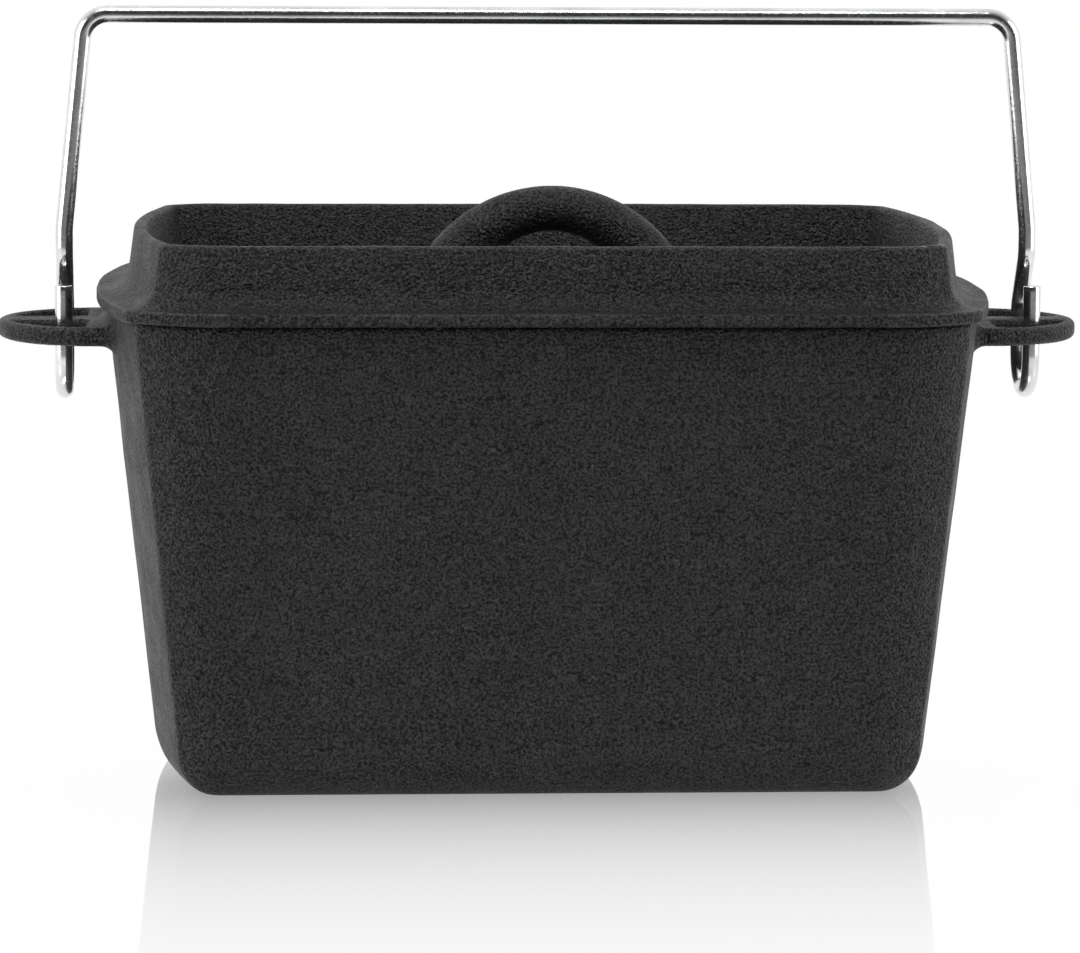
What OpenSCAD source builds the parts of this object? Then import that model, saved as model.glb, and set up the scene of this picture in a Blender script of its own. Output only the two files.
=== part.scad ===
// Rectangular lidded camp oven with a wire bail: pot, lift-off lid, swinging bail.
// Millimetres. +Z is up, +X runs along the pot, and the origin is the middle of the base.

/* [Pot] */
// Length of the pot over its top edge
pot_length = 300; // [260:1:330]
// Width of the pot over its top edge
pot_width = 191; // [170:1:220]
// Height of the pot from the base to the joint under the lid
pot_height = 163; // [140:0.5:190]
// Corner radius of the pot, seen from above, at its top edge
corner_radius = 40; // [36:1:55]
// Radius of the slight bow of the pot's short ends
end_radius = 330; // [300:10:800]
// Thickness of the pot's walls
wall = 5; // [4:0.5:7]
// Thickness of the pot's floor
floor_thickness = 6; // [5:0.5:9]
// Draft of the walls, in degrees from upright
draft = 6.2; // [3:0.1:7]
// Radius of the rounded edge round the base
base_radius = 14; // [8:1:16]
// Radius of the corner between the walls and the floor inside
inner_radius = 11; // [8:1:12]

/* [Ears] */
// Length of the pot over the tips of its two ears
length_over_ears = 376; // [366:1:390]
// Width of an ear
ear_width = 72; // [68:1:80]
// Thickness of an ear
ear_thickness = 6.4; // [5:0.2:8]
// How far the top of an ear lies below the joint under the lid
ear_drop = 7; // [6:0.2:10]
// Width of the metal left round the two holes of an ear
ear_margin = 4.5; // [4:0.5:6]
// Width of the bridge between the two holes, which the bail hooks round
bridge_width = 14; // [12:1:16]

/* [Lid] */
// How far the lid's flange stands out past the pot's top edge
flange_overhang = 4; // [2:0.5:6]
// Thickness of the lid's flange and plate
flange_thickness = 4.5; // [4:0.5:6]
// Height of the rim that stands on the lid, above the joint
rim_height = 25.6; // [20:0.2:32]
// How far the rim's top edge lies inside the pot's top edge
rim_inset = 9; // [7:0.2:10]
// Thickness of the rim at its top
rim_thickness = 4; // [3.5:0.5:6]
// Radius of the hollow between the rim and the flange
rim_foot_radius = 7; // [4:1:8]
// Depth of the lip that centres the lid inside the pot
lip_depth = 5; // [3:0.5:8]

/* [Loop handle] */
// Height of the top of the loop above the joint
loop_height = 39; // [34:1:44]
// Radius of the loop's outer arch
loop_outer_radius = 53; // [48:1:56]
// Radius of the finger opening under the loop
loop_inner_radius = 26; // [24:1:28]
// Thickness of the loop at its crown, from the opening to the top
loop_crown = 15.5; // [13:0.5:18]
// Width of the loop at its crown, across the lid
loop_width = 18; // [14:1:22]
// How far the loop sits towards the right-hand ear, off the lid's middle
loop_offset = 4; // [-4:0.5:4]

/* [Bail] */
// Diameter of the bail's wire
wire = 6; // [5:0.5:7]
// Height of the middle of the bail's top bar above the base
bar_height = 261; // [250:0.1:275]
// Half the distance between the corners of the bail, at the middle of the wire
bar_half_length = 160.6; // [159:0.1:162]
// Length of each sloping leg, from corner to corner
leg_length = 74.185; // [60:0.005:76]
// How far each top corner's bend reaches along the wire from its corner
corner_setback = 8; // [7:0.5:14]
// Radius of the hook's turn, at the middle of the wire
hook_radius = 13.5; // [13.5:0.5:15]
// Height of the hook's cut end above the base
hook_tip_height = 168.5; // [163:0.5:170]
// Height of the lowest point of the hooks above the base
hook_low_height = 128; // [124:0.5:130]
// How far the loose bail has slid towards the right-hand ear
bail_offset = 3; // [-3:0.5:3]

/* [Hidden] */

cast_colour = [0.13, 0.13, 0.135];
wire_colour = [0.78, 0.79, 0.8];
curve_facets = 96;
arc_steps = 6;
small_arc_steps = 4;
cut = 1;

// The plan: a rectangle with round corners and slightly bowed short ends
half_length = pot_length / 2;
half_width = pot_width / 2;
corner_x = half_length - corner_radius;
corner_y = half_width - corner_radius;

// Pot
pot_edge_radius = 2;
land = 3.5;
land_foot = pot_height - pot_edge_radius - land;

// Ears
ear_top = pot_height - ear_drop;
ear_bottom = ear_top - ear_thickness;
ear_radius = ear_width / 2;
ear_centre_x = length_over_ears / 2 - ear_radius;
ear_root_x = half_length - 2 * wall;
ear_root_fillet = 6;
ear_under_fillet = 5;
hole_radius = ear_radius - ear_margin;
hole_setback = 5.5;
hole_inner_x = ear_centre_x + hole_setback;

// Lid
flange_top = pot_height + flange_thickness;
flange_edge_radius = 0.8;
rim_top = pot_height + rim_height;
rim_outer_slope = 7.5;
rim_inner_slope = 17;
rim_edge_radius = 1.2;
tray_fillet = 5;
lip_gap = 1.2;
lip_thickness = 3.2;

// Loop handle
loop_top = pot_height + loop_height;
loop_outer_z = loop_top - loop_outer_radius;
loop_inner_z = loop_top - loop_crown - loop_inner_radius;
loop_root_z = pot_height + flange_thickness / 2;
loop_outer_start = asin((loop_root_z - loop_outer_z) / loop_outer_radius);
loop_inner_start = asin((loop_root_z - loop_inner_z) / loop_inner_radius);
loop_foot_width = 24;
loop_rings = 28;
loop_sides = 20;

// Bail
wire_radius = wire / 2;
joint_swell = 0.04;
leg_slope = 2 * atan(1 / 20);
leg_foot_z = bar_height - leg_length * cos(leg_slope);
hook_distance = bar_half_length + leg_length * sin(leg_slope);
corner_turn = 90 - leg_slope;
corner_bend_radius = corner_setback / tan(corner_turn / 2);
foot_setback = 2;
foot_bend_radius = foot_setback / tan(leg_slope / 2);
hook_centre_z = hook_low_height + wire_radius + hook_radius;
jog_turn = atan(3 / 4);
jog_length = hook_radius / sin(jog_turn);
jog_low_z = 160;
jog_high_z = jog_low_z + jog_length * cos(jog_turn);
jog_setback = 3;
jog_bend_radius = jog_setback / tan(jog_turn / 2);

// Points along an arc about a centre, from one angle to another
function arc(x, z, radius, from, to, steps = arc_steps) =
    [for (i = [0:steps])
        let (a = from + (to - from) * i / steps)
        [x + radius * cos(a), z + radius * sin(a)]];

// How far the drafted wall's outside lies inside the top edge at height z
function draft_inset(z) = max(land_foot - z, 0) * tan(draft);

// Profile of a drafted wall, from a rounded foot at height z0 up to its land, set in by inset
function drafted_wall(z0, inset, radius) =
    let (zc = z0 + radius)
    let (xc = -inset - draft_inset(zc) - radius / cos(draft))
    concat(arc(xc, zc, radius, -90, -draft), [[-inset, land_foot]]);

// The profile closed inwards to a depth behind the plan's edge
module closed_profile(profile, depth) {
    first = profile[0];
    last = profile[len(profile) - 1];
    polygon(concat(profile, [[-depth, last[1]], [-depth, first[1]]]));
}

// A round disc whose edge follows a profile, so large that its arc makes one slightly bowed short end
module end_disc(profile, side) {
    translate([side * (half_length - end_radius), 0, 0])
        rotate_extrude($fn = curve_facets)
            translate([end_radius, 0])
                closed_profile(profile, end_radius);
}

// A rectangle with round corners whose edge follows a profile
module plan_block(profile) {
    for (turn = [0, 180])
        rotate([0, 0, turn]) {
            // Long side and the middle
            translate([corner_x, 0, 0])
                rotate([90, 0, -90])
                    linear_extrude(2 * corner_x)
                        translate([half_width, 0])
                            closed_profile(profile, half_width);
            // Short end
            translate([corner_x, corner_y, 0])
                rotate([90, 0, 0])
                    linear_extrude(2 * corner_y)
                        translate([corner_radius, 0])
                            closed_profile(profile, corner_radius);
            // The two corners of that end
            for (side = [-1, 1])
                translate([corner_x, side * corner_y, 0])
                    rotate([0, 0, side * 45 - 45])
                        rotate_extrude(angle = 90, $fn = curve_facets)
                            translate([corner_radius, 0])
                                closed_profile(profile, corner_radius);
        }
}

// Fills the plan with a solid whose edge follows a profile of [distance outward, height] points
module plan_solid(profile) {
    intersection() {
        plan_block(profile);
        end_disc(profile, 1);
        end_disc(profile, -1);
    }
}

module pot_outside() {
    edge = arc(-pot_edge_radius, pot_height - pot_edge_radius, pot_edge_radius, 0, 90);
    plan_solid(concat(drafted_wall(0, 0, base_radius), edge));
}

module pot_cavity() {
    top = [[-wall, pot_height + cut]];
    plan_solid(concat(drafted_wall(floor_thickness, wall, inner_radius), top));
}

// Outline of one ear, with round fillets where it meets the wall
module ear_outline() {
    translate([ear_centre_x, 0])
        circle(ear_radius, $fn = curve_facets);
    translate([ear_root_x, -ear_radius])
        square([ear_centre_x - ear_root_x, ear_width]);
    for (side = [-1, 1])
        difference() {
            translate([ear_root_x, side * (ear_radius + ear_root_fillet / 2) - ear_root_fillet / 2])
                square([half_length + ear_root_fillet - ear_root_x, ear_root_fillet]);
            translate([half_length + ear_root_fillet, side * (ear_radius + ear_root_fillet)])
                circle(ear_root_fillet, $fn = curve_facets);
        }
}

// One of the two D-shaped holes: round outside, straight along the bridge and along the wall
module ear_hole() {
    intersection() {
        translate([ear_centre_x, 0])
            circle(hole_radius, $fn = curve_facets);
        translate([hole_inner_x, bridge_width / 2])
            square([hole_radius, hole_radius]);
    }
}

module ear() {
    difference() {
        translate([0, 0, ear_bottom])
            linear_extrude(ear_thickness)
                ear_outline();
        for (side = [0, 1])
            mirror([0, side, 0])
                translate([0, 0, ear_bottom - cut])
                    linear_extrude(ear_thickness + 2 * cut)
                        ear_hole();
    }
    // Fillet under the ear, against the drafted wall
    wall_x = half_length - draft_inset(ear_bottom);
    translate([0, ear_radius - ear_root_fillet, 0])
        rotate([90, 0, 0])
            linear_extrude(ear_width - 2 * ear_root_fillet)
                difference() {
                    translate([ear_root_x, ear_bottom - ear_under_fillet])
                        square([wall_x + ear_under_fillet - ear_root_x, ear_under_fillet]);
                    translate([wall_x + ear_under_fillet, ear_bottom - ear_under_fillet])
                        circle(ear_under_fillet, $fn = curve_facets);
                }
}

module pot() {
    color(cast_colour)
        difference() {
            union() {
                pot_outside();
                for (side = [0, 180])
                    rotate([0, 0, side])
                        ear();
            }
            pot_cavity();
        }
}

// Lid without its tray: flange, hollow foot and outer face of the rim
module lid_outside() {
    edge = flange_overhang - flange_edge_radius;
    foot_z = flange_top + rim_foot_radius;
    foot_d = -rim_inset + (rim_top - foot_z) * tan(rim_outer_slope) + rim_foot_radius / cos(rim_outer_slope);
    plan_solid(concat(
        arc(edge, pot_height + flange_edge_radius, flange_edge_radius, -90, 0, small_arc_steps),
        arc(edge, flange_top - flange_edge_radius, flange_edge_radius, 0, 90, small_arc_steps),
        arc(foot_d, foot_z, rim_foot_radius, 270, 180 + rim_outer_slope),
        arc(-rim_inset - rim_edge_radius, rim_top - rim_edge_radius, rim_edge_radius, rim_outer_slope, 90,
            small_arc_steps)));
}

// Space inside the rim, which holds the coals
module lid_tray() {
    mouth = -rim_inset - rim_thickness;
    foot_z = flange_top + tray_fillet;
    foot_d = mouth - (rim_top - foot_z) * tan(rim_inner_slope) - tray_fillet / cos(rim_inner_slope);
    plan_solid(concat(
        arc(foot_d, foot_z, tray_fillet, -90, -rim_inner_slope, small_arc_steps),
        [[mouth, rim_top], [mouth, rim_top + cut]]));
}

// Lip under the plate, which drops inside the pot's mouth
module lid_lip() {
    outer = -wall - lip_gap;
    inner = outer - lip_thickness;
    low = pot_height - lip_depth;
    difference() {
        plan_solid([[outer, low], [outer, pot_height + cut]]);
        plan_solid([[inner, low - cut], [inner, pot_height + 2 * cut]]);
    }
}

// A ring of points round the loop at a share t of its length, from one foot to the other
function loop_ring(t) =
    let (outer_angle = loop_outer_start + (180 - 2 * loop_outer_start) * t)
    let (inner_angle = loop_inner_start + (180 - 2 * loop_inner_start) * t)
    let (outer = [loop_outer_radius * cos(outer_angle), loop_outer_z + loop_outer_radius * sin(outer_angle)])
    let (inner = [loop_inner_radius * cos(inner_angle), loop_inner_z + loop_inner_radius * sin(inner_angle)])
    let (middle = (outer + inner) / 2)
    let (reach = (outer - inner) / 2)
    let (spread = abs(2 * t - 1))
    let (half = (loop_width + (loop_foot_width - loop_width) * pow(spread, 3)) / 2)
    [for (k = [0:loop_sides - 1])
        let (a = 360 * k / loop_sides)
        [middle[0] + reach[0] * cos(a), half * sin(a), middle[1] + reach[1] * cos(a)]];

// The loop handle, thick at its feet and oval in section
module loop_handle() {
    points = [for (i = [0:loop_rings]) each loop_ring(i / loop_rings)];
    last = loop_rings * loop_sides;
    sides = [for (i = [0:loop_rings - 1], k = [0:loop_sides - 1])
        let (next = (k + 1) % loop_sides)
        [i * loop_sides + k, (i + 1) * loop_sides + k, (i + 1) * loop_sides + next, i * loop_sides + next]];
    first_cap = [for (k = [0:loop_sides - 1]) k];
    last_cap = [for (k = [loop_sides - 1:-1:0]) last + k];
    polyhedron(points, concat(sides, [first_cap, last_cap]));
}

module lid() {
    color(cast_colour) {
        difference() {
            lid_outside();
            lid_tray();
        }
        lid_lip();
        translate([loop_offset, 0, 0])
            loop_handle();
    }
}

// A straight run of wire along Z, between two heights
module wire_run(low, high) {
    translate([0, 0, low])
        cylinder(r = wire_radius, h = high - low, $fn = curve_facets);
}

// A bend of wire in the XZ plane about the origin, through an angle, starting at one from +X towards +Z
module wire_bend(radius, start, angle) {
    rotate([90, 0, 0])
        rotate([0, 0, start])
            rotate_extrude(angle = angle, $fn = curve_facets)
                translate([radius, 0])
                    circle(wire_radius, $fn = curve_facets);
}

// Top corner of the bail, the sloping leg below it, and the slight bend at the leg's foot
module bail_leg() {
    translate([bar_half_length - corner_setback, 0, bar_height])
        translate([0, 0, -corner_bend_radius])
            wire_bend(corner_bend_radius, 90, -corner_turn);
    translate([hook_distance, 0, leg_foot_z])
        rotate([0, -leg_slope, 0])
            wire_run(foot_setback, leg_length - corner_setback);
    // Each end of the slope is closed by a ball hardly wider than the wire
    translate([hook_distance, 0, leg_foot_z])
        rotate([0, -leg_slope, 0])
            for (end = [foot_setback, leg_length - corner_setback])
                translate([0, 0, end])
                    sphere(wire_radius + joint_swell, $fn = curve_facets);
    translate([hook_distance, 0, leg_foot_z - foot_setback])
        translate([-foot_bend_radius, 0, 0])
            wire_bend(foot_bend_radius, 0, leg_slope);
}

// The hook, with its local x to the back: a jog, a turn under the ear's bridge, and the short end
module bail_hook() {
    wire_run(jog_high_z + jog_setback, leg_foot_z - foot_setback);
    translate([jog_bend_radius, 0, jog_high_z + jog_setback])
        wire_bend(jog_bend_radius, 180, jog_turn);
    translate([hook_radius, 0, jog_low_z])
        rotate([0, -jog_turn, 0])
            wire_run(jog_setback, jog_length - jog_setback);
    translate([hook_radius - jog_bend_radius, 0, jog_low_z - jog_setback])
        wire_bend(jog_bend_radius, 0, jog_turn);
    translate([hook_radius, 0, 0])
        wire_run(hook_centre_z, jog_low_z - jog_setback);
    translate([0, 0, hook_centre_z])
        wire_bend(hook_radius, 180, 180);
    translate([-hook_radius, 0, 0])
        wire_run(hook_centre_z, hook_tip_height);
}

module bail() {
    bar_half = bar_half_length - corner_setback;
    color(wire_colour)
        translate([bail_offset, 0, 0]) {
            translate([0, 0, bar_height])
                rotate([0, 90, 0])
                    wire_run(-bar_half, bar_half);
            for (side = [0, 1])
                mirror([side, 0, 0]) {
                    bail_leg();
                    translate([hook_distance, 0, 0])
                        rotate([0, 0, 90])
                            bail_hook();
                }
        }
}

pot();
lid();
bail();
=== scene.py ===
"""Looks of the rectangular camp oven: two iron castings and a bent wire bail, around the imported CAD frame."""
import math

import bpy
import numpy as np
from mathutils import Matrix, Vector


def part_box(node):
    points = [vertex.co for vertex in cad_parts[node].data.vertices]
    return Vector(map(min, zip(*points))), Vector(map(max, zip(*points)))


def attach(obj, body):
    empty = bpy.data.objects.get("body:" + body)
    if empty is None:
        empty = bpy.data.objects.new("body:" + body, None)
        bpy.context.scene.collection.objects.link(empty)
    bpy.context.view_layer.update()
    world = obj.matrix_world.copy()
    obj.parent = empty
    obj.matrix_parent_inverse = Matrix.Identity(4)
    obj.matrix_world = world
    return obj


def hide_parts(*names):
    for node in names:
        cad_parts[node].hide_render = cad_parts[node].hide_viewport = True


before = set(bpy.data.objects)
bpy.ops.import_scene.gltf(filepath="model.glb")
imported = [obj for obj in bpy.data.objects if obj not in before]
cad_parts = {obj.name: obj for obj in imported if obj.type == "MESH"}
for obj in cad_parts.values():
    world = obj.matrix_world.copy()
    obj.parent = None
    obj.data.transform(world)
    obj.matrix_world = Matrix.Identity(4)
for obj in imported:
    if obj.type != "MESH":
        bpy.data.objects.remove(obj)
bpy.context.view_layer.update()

import openvdb
from mathutils import Matrix, Vector

MM = 0.001

# ---------------------------------------------------------------- sizes, in millimetres, from the frame
pot_low, pot_high = [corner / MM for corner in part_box("pot")]
lid_low, lid_high = [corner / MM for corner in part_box("lid")]
bail_low, bail_high = [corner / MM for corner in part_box("bail")]

JOINT_Z = pot_high.z
OVERHANG = lid_high.y - pot_high.y
HALF_LENGTH = lid_high.x - OVERHANG
HALF_WIDTH = pot_high.y
CORNER = 40.0
END_RADIUS = 330.0
WALL = 5.0
FLOOR = 6.0
DRAFT = math.radians(6.2)
POT_EDGE = 2.0
LAND_DROP = 5.5
LAND_FOOT = JOINT_Z - LAND_DROP
BASE_RADIUS = 14.0
INNER_RADIUS = 11.0

EAR_DROP = 7.0
EAR_TOP = JOINT_Z - EAR_DROP
EAR_THICKNESS = 6.4
EAR_RADIUS = 36.0
EAR_X = pot_high.x - EAR_RADIUS
EAR_MARGIN = 4.5
BRIDGE = 14.0
HOLE_SETBACK = 5.5
HOLE_X = EAR_X + HOLE_SETBACK

FLANGE = 4.5
FLANGE_TOP = JOINT_Z + FLANGE
RIM_HEIGHT = 25.6
RIM_TOP = JOINT_Z + RIM_HEIGHT
RIM_INSET = 9.0
RIM_THICKNESS = 4.0
RIM_OUTER_SLOPE = math.radians(7.5)
RIM_INNER_SLOPE = math.radians(17.0)
RIM_FOOT = 7.0
TRAY_FILLET = 5.0
LIP_LOW = lid_low.z
LIP_GAP = 1.2
LIP_THICKNESS = 3.2

LOOP_TOP = lid_high.z
LOOP_OUTER = 53.0
LOOP_INNER = 26.0
LOOP_CROWN = 15.5
LOOP_WIDTH = 18.0
LOOP_X = 4.0
LOOP_FOOT_WIDTH = 24.0

WIRE_RADIUS = 3.0
BAR_Z = bail_high.z - WIRE_RADIUS
BAIL_X = (bail_low.x + bail_high.x) / 2
HOOK_X = (bail_high.x - bail_low.x) / 2 - WIRE_RADIUS
HOOK_RADIUS = bail_high.y - WIRE_RADIUS
HOOK_LOW = bail_low.z + WIRE_RADIUS
HOOK_TIP = 168.5
LEG_SLOPE = 2 * math.atan(1 / 20)
LEG_LENGTH = 74.185
LEG_FOOT_Z = BAR_Z - LEG_LENGTH * math.cos(LEG_SLOPE)
JOG_LOW = 160.0
JOG_HIGH = JOG_LOW + HOOK_RADIUS * 4 / 3
JOG_SETBACK = 3.0
LEG_SETBACK = 2.0
CORNER_SETBACK = 8.0
PATH_GAP = 2.0

POT_VOXEL = 1.1
LID_VOXEL = 0.9
CASTING_FACES = 190000

# ---------------------------------------------------------------- the floor, in metres
FLOOR_HALF = 6.0
# The pot's footprint on the floor: the floor's glow is dark inside it as a painted shadow, and the floor's
# mirror fades with distance from it
FOOT_HALF_X = 0.112
FOOT_HALF_Y = 0.058
# Width over which the painted shadow round the pot's foot fades out
PAINTED_SHADOW_WIDTH = 0.007
GLOW_NEAR_Y = -0.42
GLOW_FAR_Y = -0.9
GLOW_FAR = 0.25
MIRROR_FADE = -9.1
MIRROR_FRONT = 0.70
MIRROR_BEHIND = 0.06
MIRROR_FRONT_Y = -0.04
MIRROR_BEHIND_Y = 0.10
MIRROR_ROUGHNESS = 0.035


# ---------------------------------------------------------------- node helpers
def new_material(name):
    material = bpy.data.materials.new(name)
    material.use_nodes = True
    nodes = material.node_tree.nodes
    return material, nodes, material.node_tree.links, nodes["Principled BSDF"]


def noise(nodes, links, coord, scale, detail, roughness):
    node = nodes.new("ShaderNodeTexNoise")
    node.inputs["Scale"].default_value = scale
    node.inputs["Detail"].default_value = detail
    node.inputs["Roughness"].default_value = roughness
    links.new(coord, node.inputs["Vector"])
    return node.outputs["Fac"]


def ramp(nodes, links, value, low, high, from_low=0.0, from_high=1.0):
    node = nodes.new("ShaderNodeMapRange")
    node.inputs["From Min"].default_value = from_low
    node.inputs["From Max"].default_value = from_high
    node.inputs["To Min"].default_value = low
    node.inputs["To Max"].default_value = high
    links.new(value, node.inputs["Value"])
    return node.outputs["Result"]


def math_node(nodes, links, operation, a, b=0.0):
    node = nodes.new("ShaderNodeMath")
    node.operation = operation
    for socket, value in zip(node.inputs, (a, b)):
        if isinstance(value, (int, float)):
            socket.default_value = value
        else:
            links.new(value, socket)
    return node.outputs[0]


# ---------------------------------------------------------------- camera, lights and floor
def aim(obj, target):
    """Turns an object's -Z towards a point, keeping it upright."""
    direction = Vector(target) - obj.location
    obj.rotation_euler = direction.to_track_quat("-Z", "Y").to_euler()


def add_camera():
    """A long lens a little to the left of the middle, looking slightly down and to the right."""
    yaw, pitch, roll = (math.radians(a) for a in (3.814, 7.763, 0.407))
    forward = Vector((math.sin(yaw) * math.cos(pitch), math.cos(yaw) * math.cos(pitch), -math.sin(pitch)))
    right = Vector((math.cos(yaw), -math.sin(yaw), 0))
    up = right.cross(forward)
    right, up = (math.cos(roll) * right + math.sin(roll) * up, math.cos(roll) * up - math.sin(roll) * right)
    camera = bpy.data.objects.new("camera", bpy.data.cameras.new("camera"))
    camera.matrix_world = Matrix.Translation((-0.1194, -1.8004, 0.34595)) @ Matrix(
        (right, up, -forward)).transposed().to_4x4()
    camera.data.sensor_width = 36.0
    camera.data.lens = 173.21
    bpy.context.scene.collection.objects.link(camera)
    bpy.context.scene.camera = camera


def add_softbox(name, place, target, size, power):
    """A rectangular area light aimed at a point."""
    light = bpy.data.lights.new(name, "AREA")
    light.shape = "RECTANGLE"
    light.size, light.size_y = size
    light.energy = power
    obj = bpy.data.objects.new(name, light)
    obj.location = place
    aim(obj, target)
    bpy.context.scene.collection.objects.link(obj)


def add_world():
    """White to the eye; as a light, bright behind and beside the object and dim in front of it."""
    world = bpy.data.worlds.new("studio")
    bpy.context.scene.world = world
    world.use_nodes = True
    nodes, links = world.node_tree.nodes, world.node_tree.links
    nodes.clear()
    split = nodes.new("ShaderNodeSeparateXYZ")
    links.new(nodes.new("ShaderNodeTexCoord").outputs["Generated"], split.inputs[0])
    depth = ramp(nodes, links, split.outputs["Y"], 0.05, 1.22, -0.75, 0.25)
    seen = nodes.new("ShaderNodeBackground")
    seen.inputs["Color"].default_value = (1, 1, 1, 1)
    lit = nodes.new("ShaderNodeBackground")
    links.new(depth, lit.inputs["Strength"])
    path = nodes.new("ShaderNodeLightPath")
    mix = nodes.new("ShaderNodeMixShader")
    out = nodes.new("ShaderNodeOutputWorld")
    links.new(path.outputs["Is Camera Ray"], mix.inputs[0])
    links.new(lit.outputs[0], mix.inputs[1])
    links.new(seen.outputs[0], mix.inputs[2])
    links.new(mix.outputs[0], out.inputs[0])


def floor_material():
    """White studio sheet with a painted shadow set by place on the floor, dark under the pot, and a mirror near
    its foot.

    It shows white to the camera from anywhere. As a light it is dimmer far in front of the object.
    """
    material = bpy.data.materials.new("studio_floor")
    material.use_nodes = True
    nodes, links = material.node_tree.nodes, material.node_tree.links
    nodes.clear()
    place = nodes.new("ShaderNodeSeparateXYZ")
    links.new(nodes.new("ShaderNodeTexCoord").outputs["Object"], place.inputs[0])
    beyond = []
    for axis, half in (("X", FOOT_HALF_X), ("Y", FOOT_HALF_Y)):
        far = math_node(nodes, links, "ABSOLUTE", place.outputs[axis])
        beyond.append(math_node(nodes, links, "MAXIMUM", math_node(nodes, links, "SUBTRACT", far, half), 0))
    away = math_node(nodes, links, "SQRT", math_node(
        nodes, links, "ADD", math_node(nodes, links, "MULTIPLY", beyond[0], beyond[0]),
        math_node(nodes, links, "MULTIPLY", beyond[1], beyond[1])))
    glow = nodes.new("ShaderNodeEmission")
    # Painted contact shadow: the glow is zero in the footprint and rises to full 7 mm outside it
    painted_foot_shadow = ramp(nodes, links, away, 0.0, 1.0, 0.0, PAINTED_SHADOW_WIDTH)
    front = ramp(nodes, links, place.outputs["Y"], GLOW_FAR, 1.0, GLOW_FAR_Y, GLOW_NEAR_Y)
    seen = nodes.new("ShaderNodeLightPath").outputs["Is Camera Ray"]
    shown = math_node(nodes, links, "MAXIMUM", front, seen)
    links.new(math_node(nodes, links, "MULTIPLY", painted_foot_shadow, shown), glow.inputs["Strength"])
    mirror = nodes.new("ShaderNodeBsdfGlossy")
    mirror.inputs["Color"].default_value = (1, 1, 1, 1)
    mirror.inputs["Roughness"].default_value = MIRROR_ROUGHNESS
    mix = nodes.new("ShaderNodeMixShader")
    fade = math_node(nodes, links, "POWER", math.e, math_node(nodes, links, "MULTIPLY", away, MIRROR_FADE))
    strength = ramp(nodes, links, place.outputs["Y"], MIRROR_FRONT, MIRROR_BEHIND,
                    MIRROR_FRONT_Y, MIRROR_BEHIND_Y)
    links.new(math_node(nodes, links, "MULTIPLY", fade, strength), mix.inputs[0])
    links.new(glow.outputs[0], mix.inputs[1])
    links.new(mirror.outputs[0], mix.inputs[2])
    links.new(mix.outputs[0], nodes.new("ShaderNodeOutputMaterial").inputs[0])
    return material


def add_floor():
    mesh = bpy.data.meshes.new("studio_floor")
    corners = [(-FLOOR_HALF, -FLOOR_HALF, 0), (FLOOR_HALF, -FLOOR_HALF, 0),
               (FLOOR_HALF, FLOOR_HALF, 0), (-FLOOR_HALF, FLOOR_HALF, 0)]
    mesh.from_pydata(corners, [], [(0, 1, 2, 3)])
    floor = bpy.data.objects.new("studio_floor", mesh)
    floor.data.materials.append(floor_material())
    bpy.context.scene.collection.objects.link(floor)


def add_studio():
    bpy.context.scene.view_settings.view_transform = "Standard"
    add_world()
    add_floor()
    add_softbox("key_box", (-0.15, -0.50, 1.5), (0, -0.08, 0.10), (0.9, 0.3), 12)
    add_softbox("left_box", (-1.2, -0.5, 0.45), (-0.1, 0, 0.1), (0.8, 0.9), 10)
    add_softbox("right_box", (1.2, -0.35, 0.45), (0.1, 0, 0.1), (0.8, 0.9), 8)


# ---------------------------------------------------------------- solid shapes as distance fields
def round_both(a, b, radius):
    """Where both a and b are negative, with a round outer edge."""
    outside = np.hypot(np.maximum(a + radius, 0), np.maximum(b + radius, 0))
    return np.minimum(np.maximum(a, b), -radius) + outside


def round_either(a, b, radius):
    """Where a or b is negative, with a hollow fillet between them."""
    return -round_both(-a, -b, radius)


def plan(x, y):
    """Distance outward from the pot's top edge, from above: a round-cornered rectangle with bowed ends."""
    qx = np.abs(x) - (HALF_LENGTH - CORNER)
    qy = np.abs(y) - (HALF_WIDTH - CORNER)
    block = np.hypot(np.maximum(qx, 0), np.maximum(qy, 0)) + np.minimum(np.maximum(qx, qy), 0) - CORNER
    bow = np.hypot(np.abs(x) + END_RADIUS - HALF_LENGTH, y) - END_RADIUS
    blend = 0.8
    return np.maximum(block, bow) + np.maximum(blend - np.abs(block - bow), 0) ** 2 / (4 * blend)


def drafted(d, z, inset):
    """A wall that is upright at its land and drafted below it."""
    slope = (d + inset + (LAND_FOOT - z) * math.tan(DRAFT)) * math.cos(DRAFT)
    return np.maximum(d + inset, slope)


def ear_field(x, y, z):
    ax, ay = np.abs(x), np.abs(y)
    disc = np.hypot(ax - EAR_X, y) - EAR_RADIUS
    root = np.maximum(ay - EAR_RADIUS, ax - EAR_X)
    outline = np.minimum(disc, root)
    hole = round_both(np.hypot(ax - EAR_X, y) - (EAR_RADIUS - EAR_MARGIN), BRIDGE / 2 - ay, 2.5)
    hole = round_both(hole, HOLE_X - ax, 3.0)
    outline = round_both(outline, -hole, 0.5)
    middle = EAR_TOP - EAR_THICKNESS / 2
    plate = round_both(outline, np.abs(z - middle) - EAR_THICKNESS / 2, 2.2)
    return np.maximum(plate, HALF_LENGTH - 25 - ax)


def pot_field(x, y, z):
    d = plan(x, y)
    outside = round_both(drafted(d, z, 0), -z, BASE_RADIUS)
    outside = round_both(outside, z - JOINT_Z, POT_EDGE)
    cavity = round_both(drafted(d, z, WALL), FLOOR - z, INNER_RADIUS)
    shell = round_either(outside, ear_field(x, y, z), 4.5)
    return round_both(shell, -cavity, 1.2)


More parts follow.
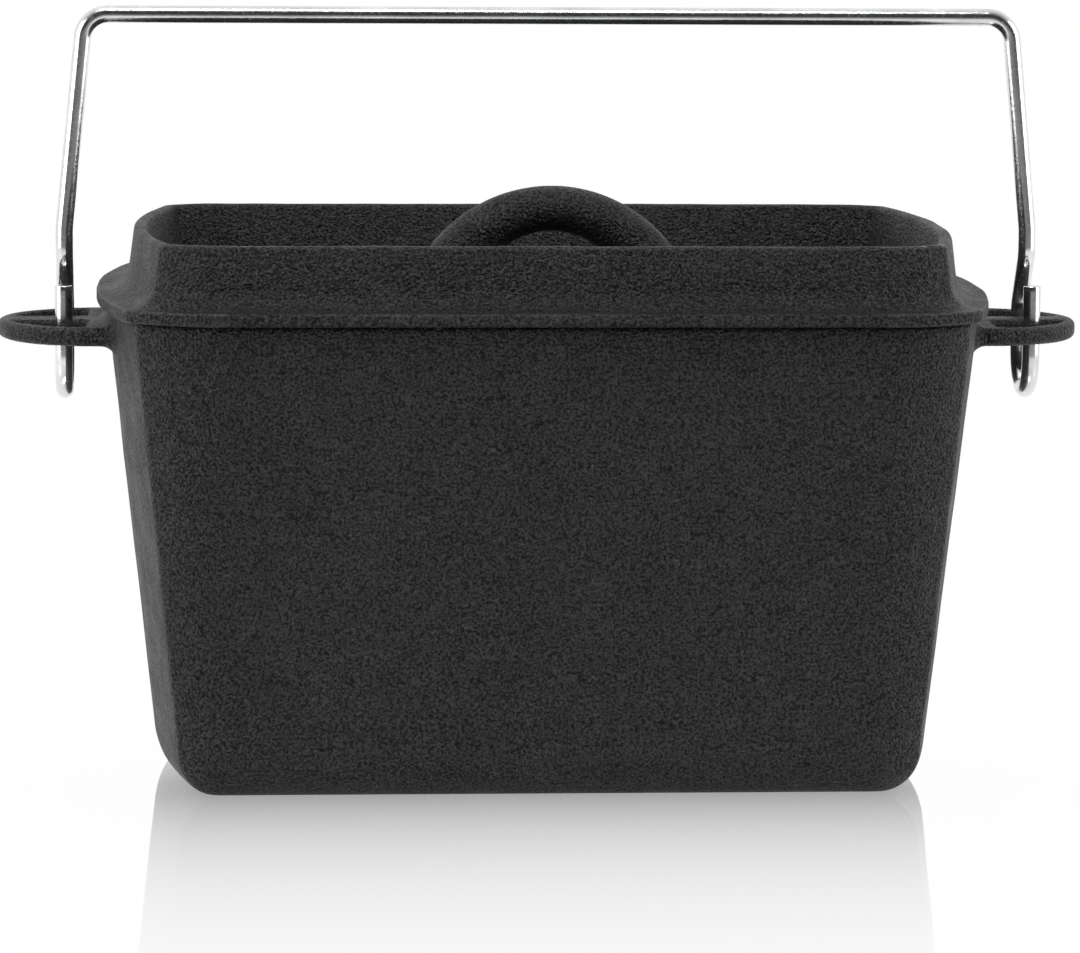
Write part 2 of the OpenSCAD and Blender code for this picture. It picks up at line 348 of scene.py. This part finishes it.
def loop_field(x, y, z):
    """The loop handle: an oval bar between two arches that aren't concentric, so its feet are thick."""
    x = x - LOOP_X
    outer = np.hypot(x, z - (LOOP_TOP - LOOP_OUTER)) - LOOP_OUTER
    inner = LOOP_INNER - np.hypot(x, z - (LOOP_TOP - LOOP_CROWN - LOOP_INNER))
    half = np.maximum(-(outer + inner) / 2, 2.0)
    across = (outer - inner) / 2
    spread = np.clip((half - LOOP_CROWN / 2) / (LOOP_FOOT_WIDTH / 2 - LOOP_CROWN / 2), 0, 1.5)
    width = (LOOP_WIDTH + (LOOP_FOOT_WIDTH - LOOP_WIDTH) * spread) / 2
    oval = (np.hypot(across / half, y / width) - 1) * np.minimum(half, width)
    return np.maximum(oval, JOINT_Z + 1 - z)


def lid_field(x, y, z):
    d = plan(x, y)
    flange = round_both(d - OVERHANG, np.abs(z - (JOINT_Z + FLANGE / 2)) - FLANGE / 2, 0.9)
    rise = RIM_TOP - z
    rim = (d + RIM_INSET - rise * math.tan(RIM_OUTER_SLOPE)) * math.cos(RIM_OUTER_SLOPE)
    rim = np.maximum(rim, JOINT_Z + 1 - z)
    body = round_either(flange, rim, RIM_FOOT)
    body = round_both(body, z - RIM_TOP, 1.4)
    tray = (d + RIM_INSET + RIM_THICKNESS + rise * math.tan(RIM_INNER_SLOPE)) * math.cos(RIM_INNER_SLOPE)
    tray = round_both(tray, FLANGE_TOP - z, TRAY_FILLET)
    body = round_both(body, -tray, 1.4)
    lip_middle = WALL + LIP_GAP + LIP_THICKNESS / 2
    lip = round_both(np.abs(d + lip_middle) - LIP_THICKNESS / 2, LIP_LOW - z, 1.0)
    lip = np.maximum(lip, z - JOINT_Z - 1)
    body = round_either(body, lip, 1.2)
    return round_either(body, loop_field(x, y, z), 4.0)


def waviness(x, y, z):
    """The slight unevenness of a sand casting, in millimetres, as a sum of long waves."""
    rng = np.random.default_rng(7)
    total = 0
    for _ in range(14):
        direction = rng.normal(size=3)
        direction *= 2 * math.pi / rng.uniform(14, 60) / np.linalg.norm(direction)
        phase = rng.uniform(0, 2 * math.pi)
        total = total + np.sin(direction[0] * x + direction[1] * y + direction[2] * z + phase)
    return 0.022 * total


def on_surface(field, points, rounds):
    """Moves points onto the field's surface, and returns them with the surface's normals."""
    step = 0.05
    for _ in range(rounds):
        value = field(*points.T)
        slope = np.stack([field(*(points + shift).T) - field(*(points - shift).T)
                          for shift in np.eye(3) * step], 1) / (2 * step)
        length = np.maximum(np.linalg.norm(slope, axis=1), 0.3)
        points = points - np.clip(value / length, -1, 1)[:, None] * slope / length[:, None]
    return points, slope / length[:, None]


def cast(name, field, low, high, voxel, faces):
    """Makes an object from a distance field: a mesh of its surface, thinned to a number of triangles."""
    axes = [np.arange(a - 3 * voxel, b + 3.5 * voxel, voxel, dtype=np.float32) for a, b in zip(low, high)]
    values = field(*np.meshgrid(*axes, indexing="ij", sparse=True))
    band = 3 * voxel
    grid = openvdb.FloatGrid(band)
    grid.copyFromArray(np.ascontiguousarray(np.clip(values, -band, band), dtype=np.float32))
    points, _, quads = grid.convertToPolygons(isovalue=0.0, adaptivity=0.0)
    start = np.array([axis[0] for axis in axes])
    points, _ = on_surface(field, start + points * voxel, 2)
    mesh = bpy.data.meshes.new(name)
    mesh.from_pydata(points.tolist(), [], quads.tolist())
    obj = bpy.data.objects.new(name, mesh)
    bpy.context.scene.collection.objects.link(obj)
    thin = obj.modifiers.new("thin", "DECIMATE")
    thin.ratio = min(1.0, faces / (2 * len(quads)))
    bpy.context.view_layer.update()
    thinned = bpy.data.meshes.new_from_object(obj.evaluated_get(bpy.context.evaluated_depsgraph_get()))
    obj.modifiers.clear()
    obj.data = thinned

    def uneven(x, y, z):
        return field(x, y, z) + waviness(x, y, z)

    points = np.empty(len(thinned.vertices) * 3)
    thinned.vertices.foreach_get("co", points)
    points, normals = on_surface(uneven, points.reshape(-1, 3), 3)
    points = np.clip(points, low, high)
    thinned.vertices.foreach_set("co", (points * MM).ravel())
    thinned.shade_smooth()
    thinned.normals_split_custom_set_from_vertices(normals.tolist())
    thinned.update()
    return obj


# ---------------------------------------------------------------- the bail
def arc(centre, u, v, radius, start, end, steps):
    """Points of an arc about a centre in the plane of u and v, angles in degrees."""
    angles = np.radians(np.linspace(start, end, steps))
    return [np.array(centre) + radius * (math.cos(a) * np.array(u) + math.sin(a) * np.array(v))
            for a in angles]


def rounded_path(corners, setbacks, gap):
    """A path through corner points, each inner one rounded by an arc that starts a setback from it."""
    corners = [np.array(c, float) for c in corners]
    path = [corners[0]]
    for before, corner, after, setback in zip(corners, corners[1:], corners[2:], setbacks):
        come = (corner - before) / np.linalg.norm(corner - before)
        go = (after - corner) / np.linalg.norm(after - corner)
        turn = math.acos(np.clip(come @ go, -1, 1))
        start = corner - come * setback
        radius = setback / math.tan(turn / 2)
        inward = go - come * (come @ go)
        inward /= np.linalg.norm(inward)
        steps = max(4, int(math.degrees(turn) / 4))
        path += arc(start + inward * radius, -inward, come, radius, 0, math.degrees(turn), steps)
    path.append(corners[-1])
    even = [path[0]]
    for point in path[1:]:
        count = max(1, int(np.linalg.norm(point - even[-1]) / gap))
        origin = even[-1]
        even += [origin + (point - origin) * k / count for k in range(1, count + 1)]
    return even


def bail_path():
    lean = LEG_LENGTH * math.sin(LEG_SLOPE)
    corner_x = HOOK_X - lean
    left = arc((-HOOK_X, 0, HOOK_LOW + HOOK_RADIUS), (0, -1, 0), (0, 0, -1), HOOK_RADIUS, 0, 180, 46)
    right = [p + np.array((2 * HOOK_X, 0, 0)) for p in left[::-1]]
    top = rounded_path(
        [left[-1], (-HOOK_X, HOOK_RADIUS, JOG_LOW), (-HOOK_X, 0, JOG_HIGH), (-HOOK_X, 0, LEG_FOOT_Z),
         (-corner_x, 0, BAR_Z), (corner_x, 0, BAR_Z), (HOOK_X, 0, LEG_FOOT_Z), (HOOK_X, 0, JOG_HIGH),
         (HOOK_X, HOOK_RADIUS, JOG_LOW), right[0]],
        [JOG_SETBACK, JOG_SETBACK, LEG_SETBACK, CORNER_SETBACK,
         CORNER_SETBACK, LEG_SETBACK, JOG_SETBACK, JOG_SETBACK], PATH_GAP)
    end = HOOK_LOW + HOOK_RADIUS
    short = [np.array((-HOOK_X, -HOOK_RADIUS, HOOK_TIP + (end - HOOK_TIP) * k / 12)) for k in range(12)]
    tail = [p + np.array((2 * HOOK_X, 0, 0)) for p in short[::-1]]
    return np.array(short + left + top[1:-1] + right + tail) + np.array((BAIL_X, 0, 0))


def sweep_wire(name, path, radius, sides=32):
    """A round wire along a path, with sheared ends that are slightly rounded over."""
    tangents = np.gradient(path, axis=0)
    tangents /= np.linalg.norm(tangents, axis=1)[:, None]
    across = np.array((1.0, 0, 0))
    rings = []
    for point, tangent in zip(path, tangents):
        across = across - tangent * (across @ tangent)
        across /= np.linalg.norm(across)
        other = np.cross(tangent, across)
        rings.append((point, tangent, across.copy(), other))
    stations = []
    edge = 0.35
    first, last = rings[0], rings[-1]
    for inset, scale in ((0, 0.55), (0, 1 - edge / radius), (0.3 * edge, 1 - 0.3 * edge / radius), (edge, 1)):
        stations.append((first[0] + first[1] * inset, first[2], first[3], scale))
    for point, _, u, v in rings[1:-1]:
        stations.append((point, u, v, 1))
    for inset, scale in ((edge, 1), (0.3 * edge, 1 - 0.3 * edge / radius), (0, 1 - edge / radius), (0, 0.55)):
        stations.append((last[0] - last[1] * inset, last[2], last[3], scale))
    angles = np.linspace(0, 2 * math.pi, sides, endpoint=False)
    verts = []
    for point, u, v, scale in stations:
        for a in angles:
            verts.append(tuple((point + radius * scale * (math.cos(a) * u + math.sin(a) * v)) * MM))
    faces = []
    for i in range(len(stations) - 1):
        for k in range(sides):
            j = (k + 1) % sides
            faces.append((i * sides + k, i * sides + j, (i + 1) * sides + j, (i + 1) * sides + k))
    end = (len(stations) - 1) * sides
    faces.append(tuple(range(sides - 1, -1, -1)))
    faces.append(tuple(range(end, end + sides)))
    mesh = bpy.data.meshes.new(name)
    mesh.from_pydata(verts, [], faces)
    mesh.shade_smooth()
    obj = bpy.data.objects.new(name, mesh)
    bpy.context.scene.collection.objects.link(obj)
    return obj


# ---------------------------------------------------------------- materials
def cast_iron():
    """Seasoned sand-cast iron: near-black, pebbled, with small pits, cloudy patches, and sharp edges lightened
    in colour, partly as rubbed wear and partly as a painted highlight.
    """
    material, nodes, links, shader = new_material("cast_iron")
    coord = nodes.new("ShaderNodeTexCoord").outputs["Object"]
    cloud = noise(nodes, links, coord, 22, 3, 0.55)
    grain = noise(nodes, links, coord, 1150, 2.5, 0.6)
    pits = noise(nodes, links, coord, 520, 1.5, 0.5)
    pebble = nodes.new("ShaderNodeTexVoronoi")
    pebble.feature = "SMOOTH_F1"
    pebble.inputs["Scale"].default_value = 1050
    pebble.inputs["Smoothness"].default_value = 0.7
    links.new(coord, pebble.inputs["Vector"])

    colour = nodes.new("ShaderNodeMix")
    colour.data_type = "RGBA"
    colour.inputs["A"].default_value = (0.0035, 0.0037, 0.0038, 1)
    colour.inputs["B"].default_value = (0.0125, 0.0131, 0.0133, 1)
    mottling = ramp(nodes, links, cloud, -0.12, 0.12, 0.35, 0.65)
    speckle = ramp(nodes, links, grain, 0.0, 1.0, 0.38, 0.62)
    both = math_node(nodes, links, "ADD", mottling, speckle)
    links.new(both, colour.inputs["Factor"])
    # Sharp edges, such as the lid's lip, get a lighter base colour: partly rubbed wear, partly a painted
    # highlight
    edge = ramp(nodes, links, nodes.new("ShaderNodeNewGeometry").outputs["Pointiness"], 0.0, 1.0, 0.53, 0.60)
    edge_wear_and_highlight = nodes.new("ShaderNodeMix")
    edge_wear_and_highlight.data_type = "RGBA"
    # Colour of the lightened edges, both wear and painted highlight
    edge_wear_and_highlight.inputs["B"].default_value = (0.070, 0.070, 0.070, 1)
    links.new(math_node(nodes, links, "MULTIPLY", edge, 0.8), edge_wear_and_highlight.inputs["Factor"])
    links.new(colour.outputs["Result"], edge_wear_and_highlight.inputs["A"])
    links.new(edge_wear_and_highlight.outputs["Result"], shader.inputs["Base Color"])

    rough = ramp(nodes, links, noise(nodes, links, coord, 75, 3, 0.6), 0.40, 0.56, 0.3, 0.7)
    links.new(rough, shader.inputs["Roughness"])
    gloss = math_node(nodes, links, "ADD", ramp(nodes, links, grain, 0.10, 0.44, 0.38, 0.62),
                      math_node(nodes, links, "MULTIPLY", edge, 0.4))
    links.new(gloss, shader.inputs["Specular IOR Level"])

    hollow = ramp(nodes, links, pits, -1.0, 0, 0.28, 0.42)
    height = math_node(nodes, links, "ADD",
                       math_node(nodes, links, "MULTIPLY", grain, 1.1),
                       math_node(nodes, links, "MULTIPLY", pebble.outputs["Distance"], -0.9))
    height = math_node(nodes, links, "ADD", height, hollow)
    bump = nodes.new("ShaderNodeBump")
    links.new(ramp(nodes, links, edge, 1.0, 0.45), bump.inputs["Strength"])
    bump.inputs["Distance"].default_value = 0.00065
    links.new(height, bump.inputs["Height"])
    links.new(bump.outputs["Normal"], shader.inputs["Normal"])
    return material


def bright_wire():
    """Bright plated steel wire, with small marks and duller patches."""
    material, nodes, links, shader = new_material("bright_wire")
    coord = nodes.new("ShaderNodeTexCoord").outputs["Object"]
    patches = noise(nodes, links, coord, 60, 4, 0.6)
    marks = noise(nodes, links, coord, 900, 3, 0.7)
    shader.inputs["Metallic"].default_value = 1.0
    colour = nodes.new("ShaderNodeMix")
    colour.data_type = "RGBA"
    colour.inputs["A"].default_value = (0.62, 0.63, 0.64, 1)
    colour.inputs["B"].default_value = (0.86, 0.87, 0.88, 1)
    links.new(ramp(nodes, links, patches, 0, 1, 0.3, 0.7), colour.inputs["Factor"])
    links.new(colour.outputs["Result"], shader.inputs["Base Color"])
    links.new(ramp(nodes, links, marks, 0.12, 0.3, 0.35, 0.75), shader.inputs["Roughness"])
    bump = nodes.new("ShaderNodeBump")
    bump.inputs["Strength"].default_value = 0.35
    bump.inputs["Distance"].default_value = 0.00006
    links.new(marks, bump.inputs["Height"])
    links.new(bump.outputs["Normal"], shader.inputs["Normal"])
    return material


# ---------------------------------------------------------------- the pieces
def finish_piece(obj, body, node, material):
    obj.data.materials.clear()
    obj.data.materials.append(material)
    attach(obj, body)
    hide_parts(node)


add_camera()
add_studio()
iron, wire = cast_iron(), bright_wire()
pot_casting = cast("pot_casting", pot_field, pot_low, pot_high, POT_VOXEL, CASTING_FACES)
finish_piece(pot_casting, "pot", "pot", iron)
lid_casting = cast("lid_casting", lid_field, lid_low, lid_high, LID_VOXEL, CASTING_FACES)
finish_piece(lid_casting, "lid", "lid", iron)
bail_wire = sweep_wire("bail_wire", bail_path(), WIRE_RADIUS)
finish_piece(bail_wire, "bail", "bail", wire)
